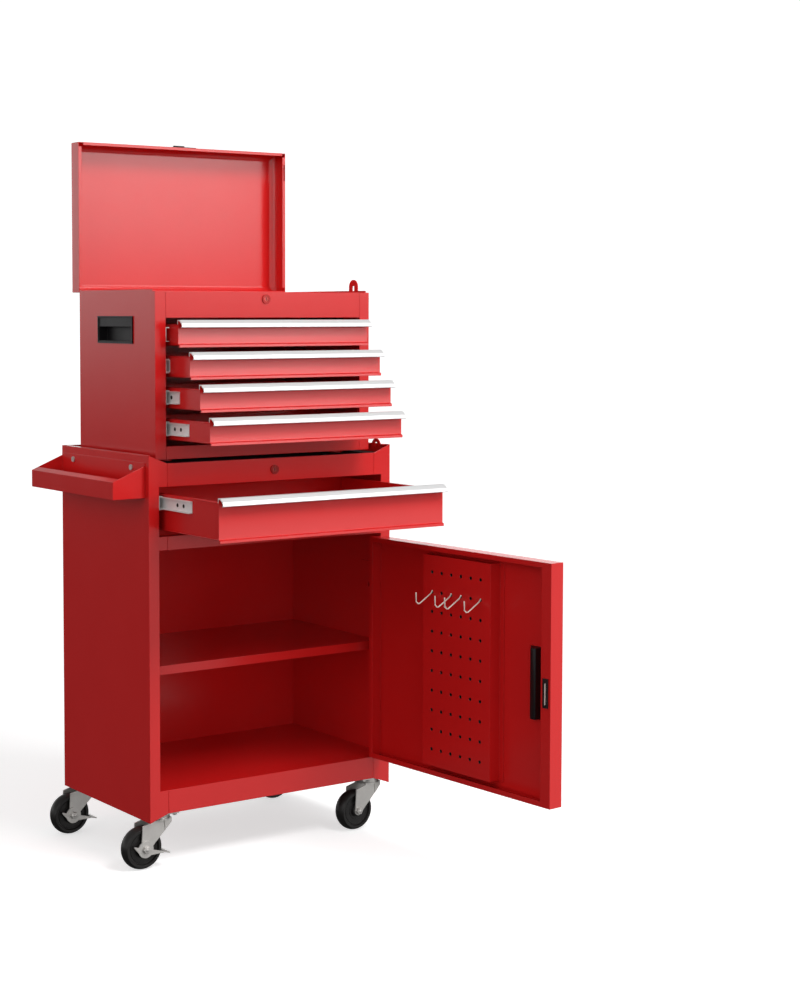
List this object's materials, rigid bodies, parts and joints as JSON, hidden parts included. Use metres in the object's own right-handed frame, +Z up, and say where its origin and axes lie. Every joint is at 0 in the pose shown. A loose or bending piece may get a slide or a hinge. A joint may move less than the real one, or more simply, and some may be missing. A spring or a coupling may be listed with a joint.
{
  "type": "tool chest and cabinet",
  "caption": "Rolling sheet-steel tool cabinet with a hinged door, shelf, wide drawer, side tray and swivel casters, and a lift-off tool chest of slide drawers under a hinged lid.",
  "frame": {"origin": "on the floor under the middle of the cabinet's footprint", "axes": "+X to the right along the front, +Y to the back, +Z up; the drawers pull out towards -Y"},
  "size_m": [0.5905, 0.8271, 1.2955],
  "materials": {
    "red_paint": "gloss powder coat",
    "mat": "ribbed matte",
    "zinc": "bright zinc plate",
    "strip": "satin anodised",
    "lock_metal": "plated",
    "black_plastic": "grained",
    "wheel_black": "satin moulded"
  },
  "bodies": {
    "cabinet": {"cabinet_side_left": "red_paint", "cabinet_side_right": "red_paint", "cabinet_back": "red_paint", "cabinet_floor": "red_paint", "cabinet_top": "red_paint", "deck_mat": "mat", "cabinet_rail_mid": "red_paint", "cabinet_shelf": "red_paint", "cabinet_slide_channels": "zinc", "cabinet_lock_barrel": "lock_metal", "side_tray": "red_paint", "tray_screws": "zinc", "door_hinge_pins": "zinc", "caster_plates": "zinc"},
    "cabinet_lock": {"cabinet_lock_plug": "lock_metal"},
    "cabinet_rod": {"cabinet_lock_rod": "red_paint"},
    "door": {"door_shell": "red_paint", "door_board": "red_paint", "door_pull": "black_plastic", "door_catch": "black_plastic", "door_hooks": "zinc"},
    "wide_drawer": {"wide_drawer_box": "red_paint", "wide_drawer_handle": "strip", "wide_drawer_slides": "zinc"},
    "chest": {"chest_side_left": "red_paint", "chest_side_right": "red_paint", "chest_back": "red_paint", "chest_floor": "red_paint", "chest_header": "red_paint", "chest_partition": "red_paint", "chest_side_handles": "black_plastic", "chest_lock_barrel": "lock_metal", "chest_slide_channels": "zinc", "lid_hinge_pin": "zinc"},
    "chest_lock": {"chest_lock_plug": "lock_metal"},
    "chest_rod": {"chest_lock_rod": "red_paint"},
    "lid": {"lid_shell": "red_paint", "lid_catch": "red_paint"},
    "drawer_1": {"drawer_1_box": "red_paint", "drawer_1_handle": "strip", "drawer_1_slides": "zinc"},
    "drawer_2": {"drawer_2_box": "red_paint", "drawer_2_handle": "strip", "drawer_2_slides": "zinc"},
    "drawer_3": {"drawer_3_box": "red_paint", "drawer_3_handle": "strip", "drawer_3_slides": "zinc"},
    "drawer_4": {"drawer_4_box": "red_paint", "drawer_4_handle": "strip", "drawer_4_slides": "zinc"},
    "swivel_front_left": {"caster_fork_front_left": "zinc"},
    "wheel_front_left": {"caster_wheel_front_left": "wheel_black"},
    "brake_front_left": {"caster_pedal_front_left": "zinc"},
    "swivel_front_right": {"caster_fork_front_right": "zinc"},
    "wheel_front_right": {"caster_wheel_front_right": "wheel_black"},
    "swivel_back_left": {"caster_fork_back_left": "zinc"},
    "wheel_back_left": {"caster_wheel_back_left": "wheel_black"},
    "brake_back_left": {"caster_pedal_back_left": "zinc"},
    "swivel_back_right": {"caster_fork_back_right": "zinc"},
    "wheel_back_right": {"caster_wheel_back_right": "wheel_black"}
  },
  "joints": [
    {"name": "door_hinge", "type": "hinge", "parent": "cabinet", "child": "door", "pos_m": [0.2391, -0.1629, 0.35], "axis": [0, 0, 1], "range_deg": [-93.3, 60]},
    {"name": "wide_drawer_slide", "type": "slide", "parent": "cabinet", "child": "wide_drawer", "axis": [0, 1, 0], "range_m": [-0.025, 0.1903]},
    {"name": "cabinet_lock_turn", "type": "hinge", "parent": "cabinet", "child": "cabinet_lock", "pos_m": [0, -0.163, 0.6937], "axis": [0, 1, 0], "range_deg": [0, 90]},
    {"name": "cabinet_rod_slide", "type": "slide", "parent": "cabinet", "child": "cabinet_rod", "axis": [0, 0, -1], "range_m": [0, 0.012]},
    {"name": "chest_lift", "type": "slide", "parent": "cabinet", "child": "chest", "axis": [0, 0, 1], "range_m": [0, 0.35]},
    {"name": "chest_lock_turn", "type": "hinge", "parent": "chest", "child": "chest_lock", "pos_m": [0, -0.1356, 1.0005], "axis": [0, 1, 0], "range_deg": [0, 90]},
    {"name": "chest_rod_slide", "type": "slide", "parent": "chest", "child": "chest_rod", "axis": [0, 0, -1], "range_m": [0, 0.012]},
    {"name": "lid_hinge", "type": "hinge", "parent": "chest", "child": "lid", "pos_m": [0, 0.1463, 1.0173], "axis": [1, 0, 0], "range_deg": [0, 90]},
    {"name": "drawer_1_slide", "type": "slide", "parent": "chest", "child": "drawer_1", "axis": [0, 1, 0], "range_m": [-0.157, 0.033]},
    {"name": "drawer_2_slide", "type": "slide", "parent": "chest", "child": "drawer_2", "axis": [0, 1, 0], "range_m": [-0.118, 0.072]},
    {"name": "drawer_3_slide", "type": "slide", "parent": "chest", "child": "drawer_3", "axis": [0, 1, 0], "range_m": [-0.0847, 0.1053]},
    {"name": "drawer_4_slide", "type": "slide", "parent": "chest", "child": "drawer_4", "axis": [0, 1, 0], "range_m": [-0.0525, 0.1375]},
    {"name": "swivel_turn_front_left", "type": "hinge", "parent": "cabinet", "child": "swivel_front_left", "pos_m": [-0.229, -0.137, 0.0865], "axis": [0, 0, 1], "continuous": true},
    {"name": "wheel_roll_front_left", "type": "hinge", "parent": "swivel_front_left", "child": "wheel_front_left", "pos_m": [-0.264, -0.137, 0.038], "axis": [0, 1, 0], "continuous": true},
    {"name": "brake_press_front_left", "type": "hinge", "parent": "swivel_front_left", "child": "brake_front_left", "pos_m": [-0.264, -0.137, 0.038], "axis": [0, 1, 0], "range_deg": [-12, 12]},
    {"name": "swivel_turn_front_right", "type": "hinge", "parent": "cabinet", "child": "swivel_front_right", "pos_m": [0.229, -0.137, 0.0865], "axis": [0, 0, 1], "continuous": true},
    {"name": "wheel_roll_front_right", "type": "hinge", "parent": "swivel_front_right", "child": "wheel_front_right", "pos_m": [0.19409, -0.13944, 0.038], "axis": [-0.0698, 0.9976, 0], "continuous": true},
    {"name": "swivel_turn_back_left", "type": "hinge", "parent": "cabinet", "child": "swivel_back_left", "pos_m": [-0.229, 0.137, 0.0865], "axis": [0, 0, 1], "continuous": true},
    {"name": "wheel_roll_back_left", "type": "hinge", "parent": "swivel_back_left", "child": "wheel_back_left", "pos_m": [-0.264, 0.137, 0.038], "axis": [0, 1, 0], "continuous": true},
    {"name": "brake_press_back_left", "type": "hinge", "parent": "swivel_back_left", "child": "brake_back_left", "pos_m": [-0.264, 0.137, 0.038], "axis": [0, 1, 0], "range_deg": [-12, 12]},
    {"name": "swivel_turn_back_right", "type": "hinge", "parent": "cabinet", "child": "swivel_back_right", "pos_m": [0.229, 0.137, 0.0865], "axis": [0, 0, 1], "continuous": true},
    {"name": "wheel_roll_back_right", "type": "hinge", "parent": "swivel_back_right", "child": "wheel_back_right", "pos_m": [0.194, 0.137, 0.038], "axis": [0, 1, 0], "continuous": true}
  ]
}
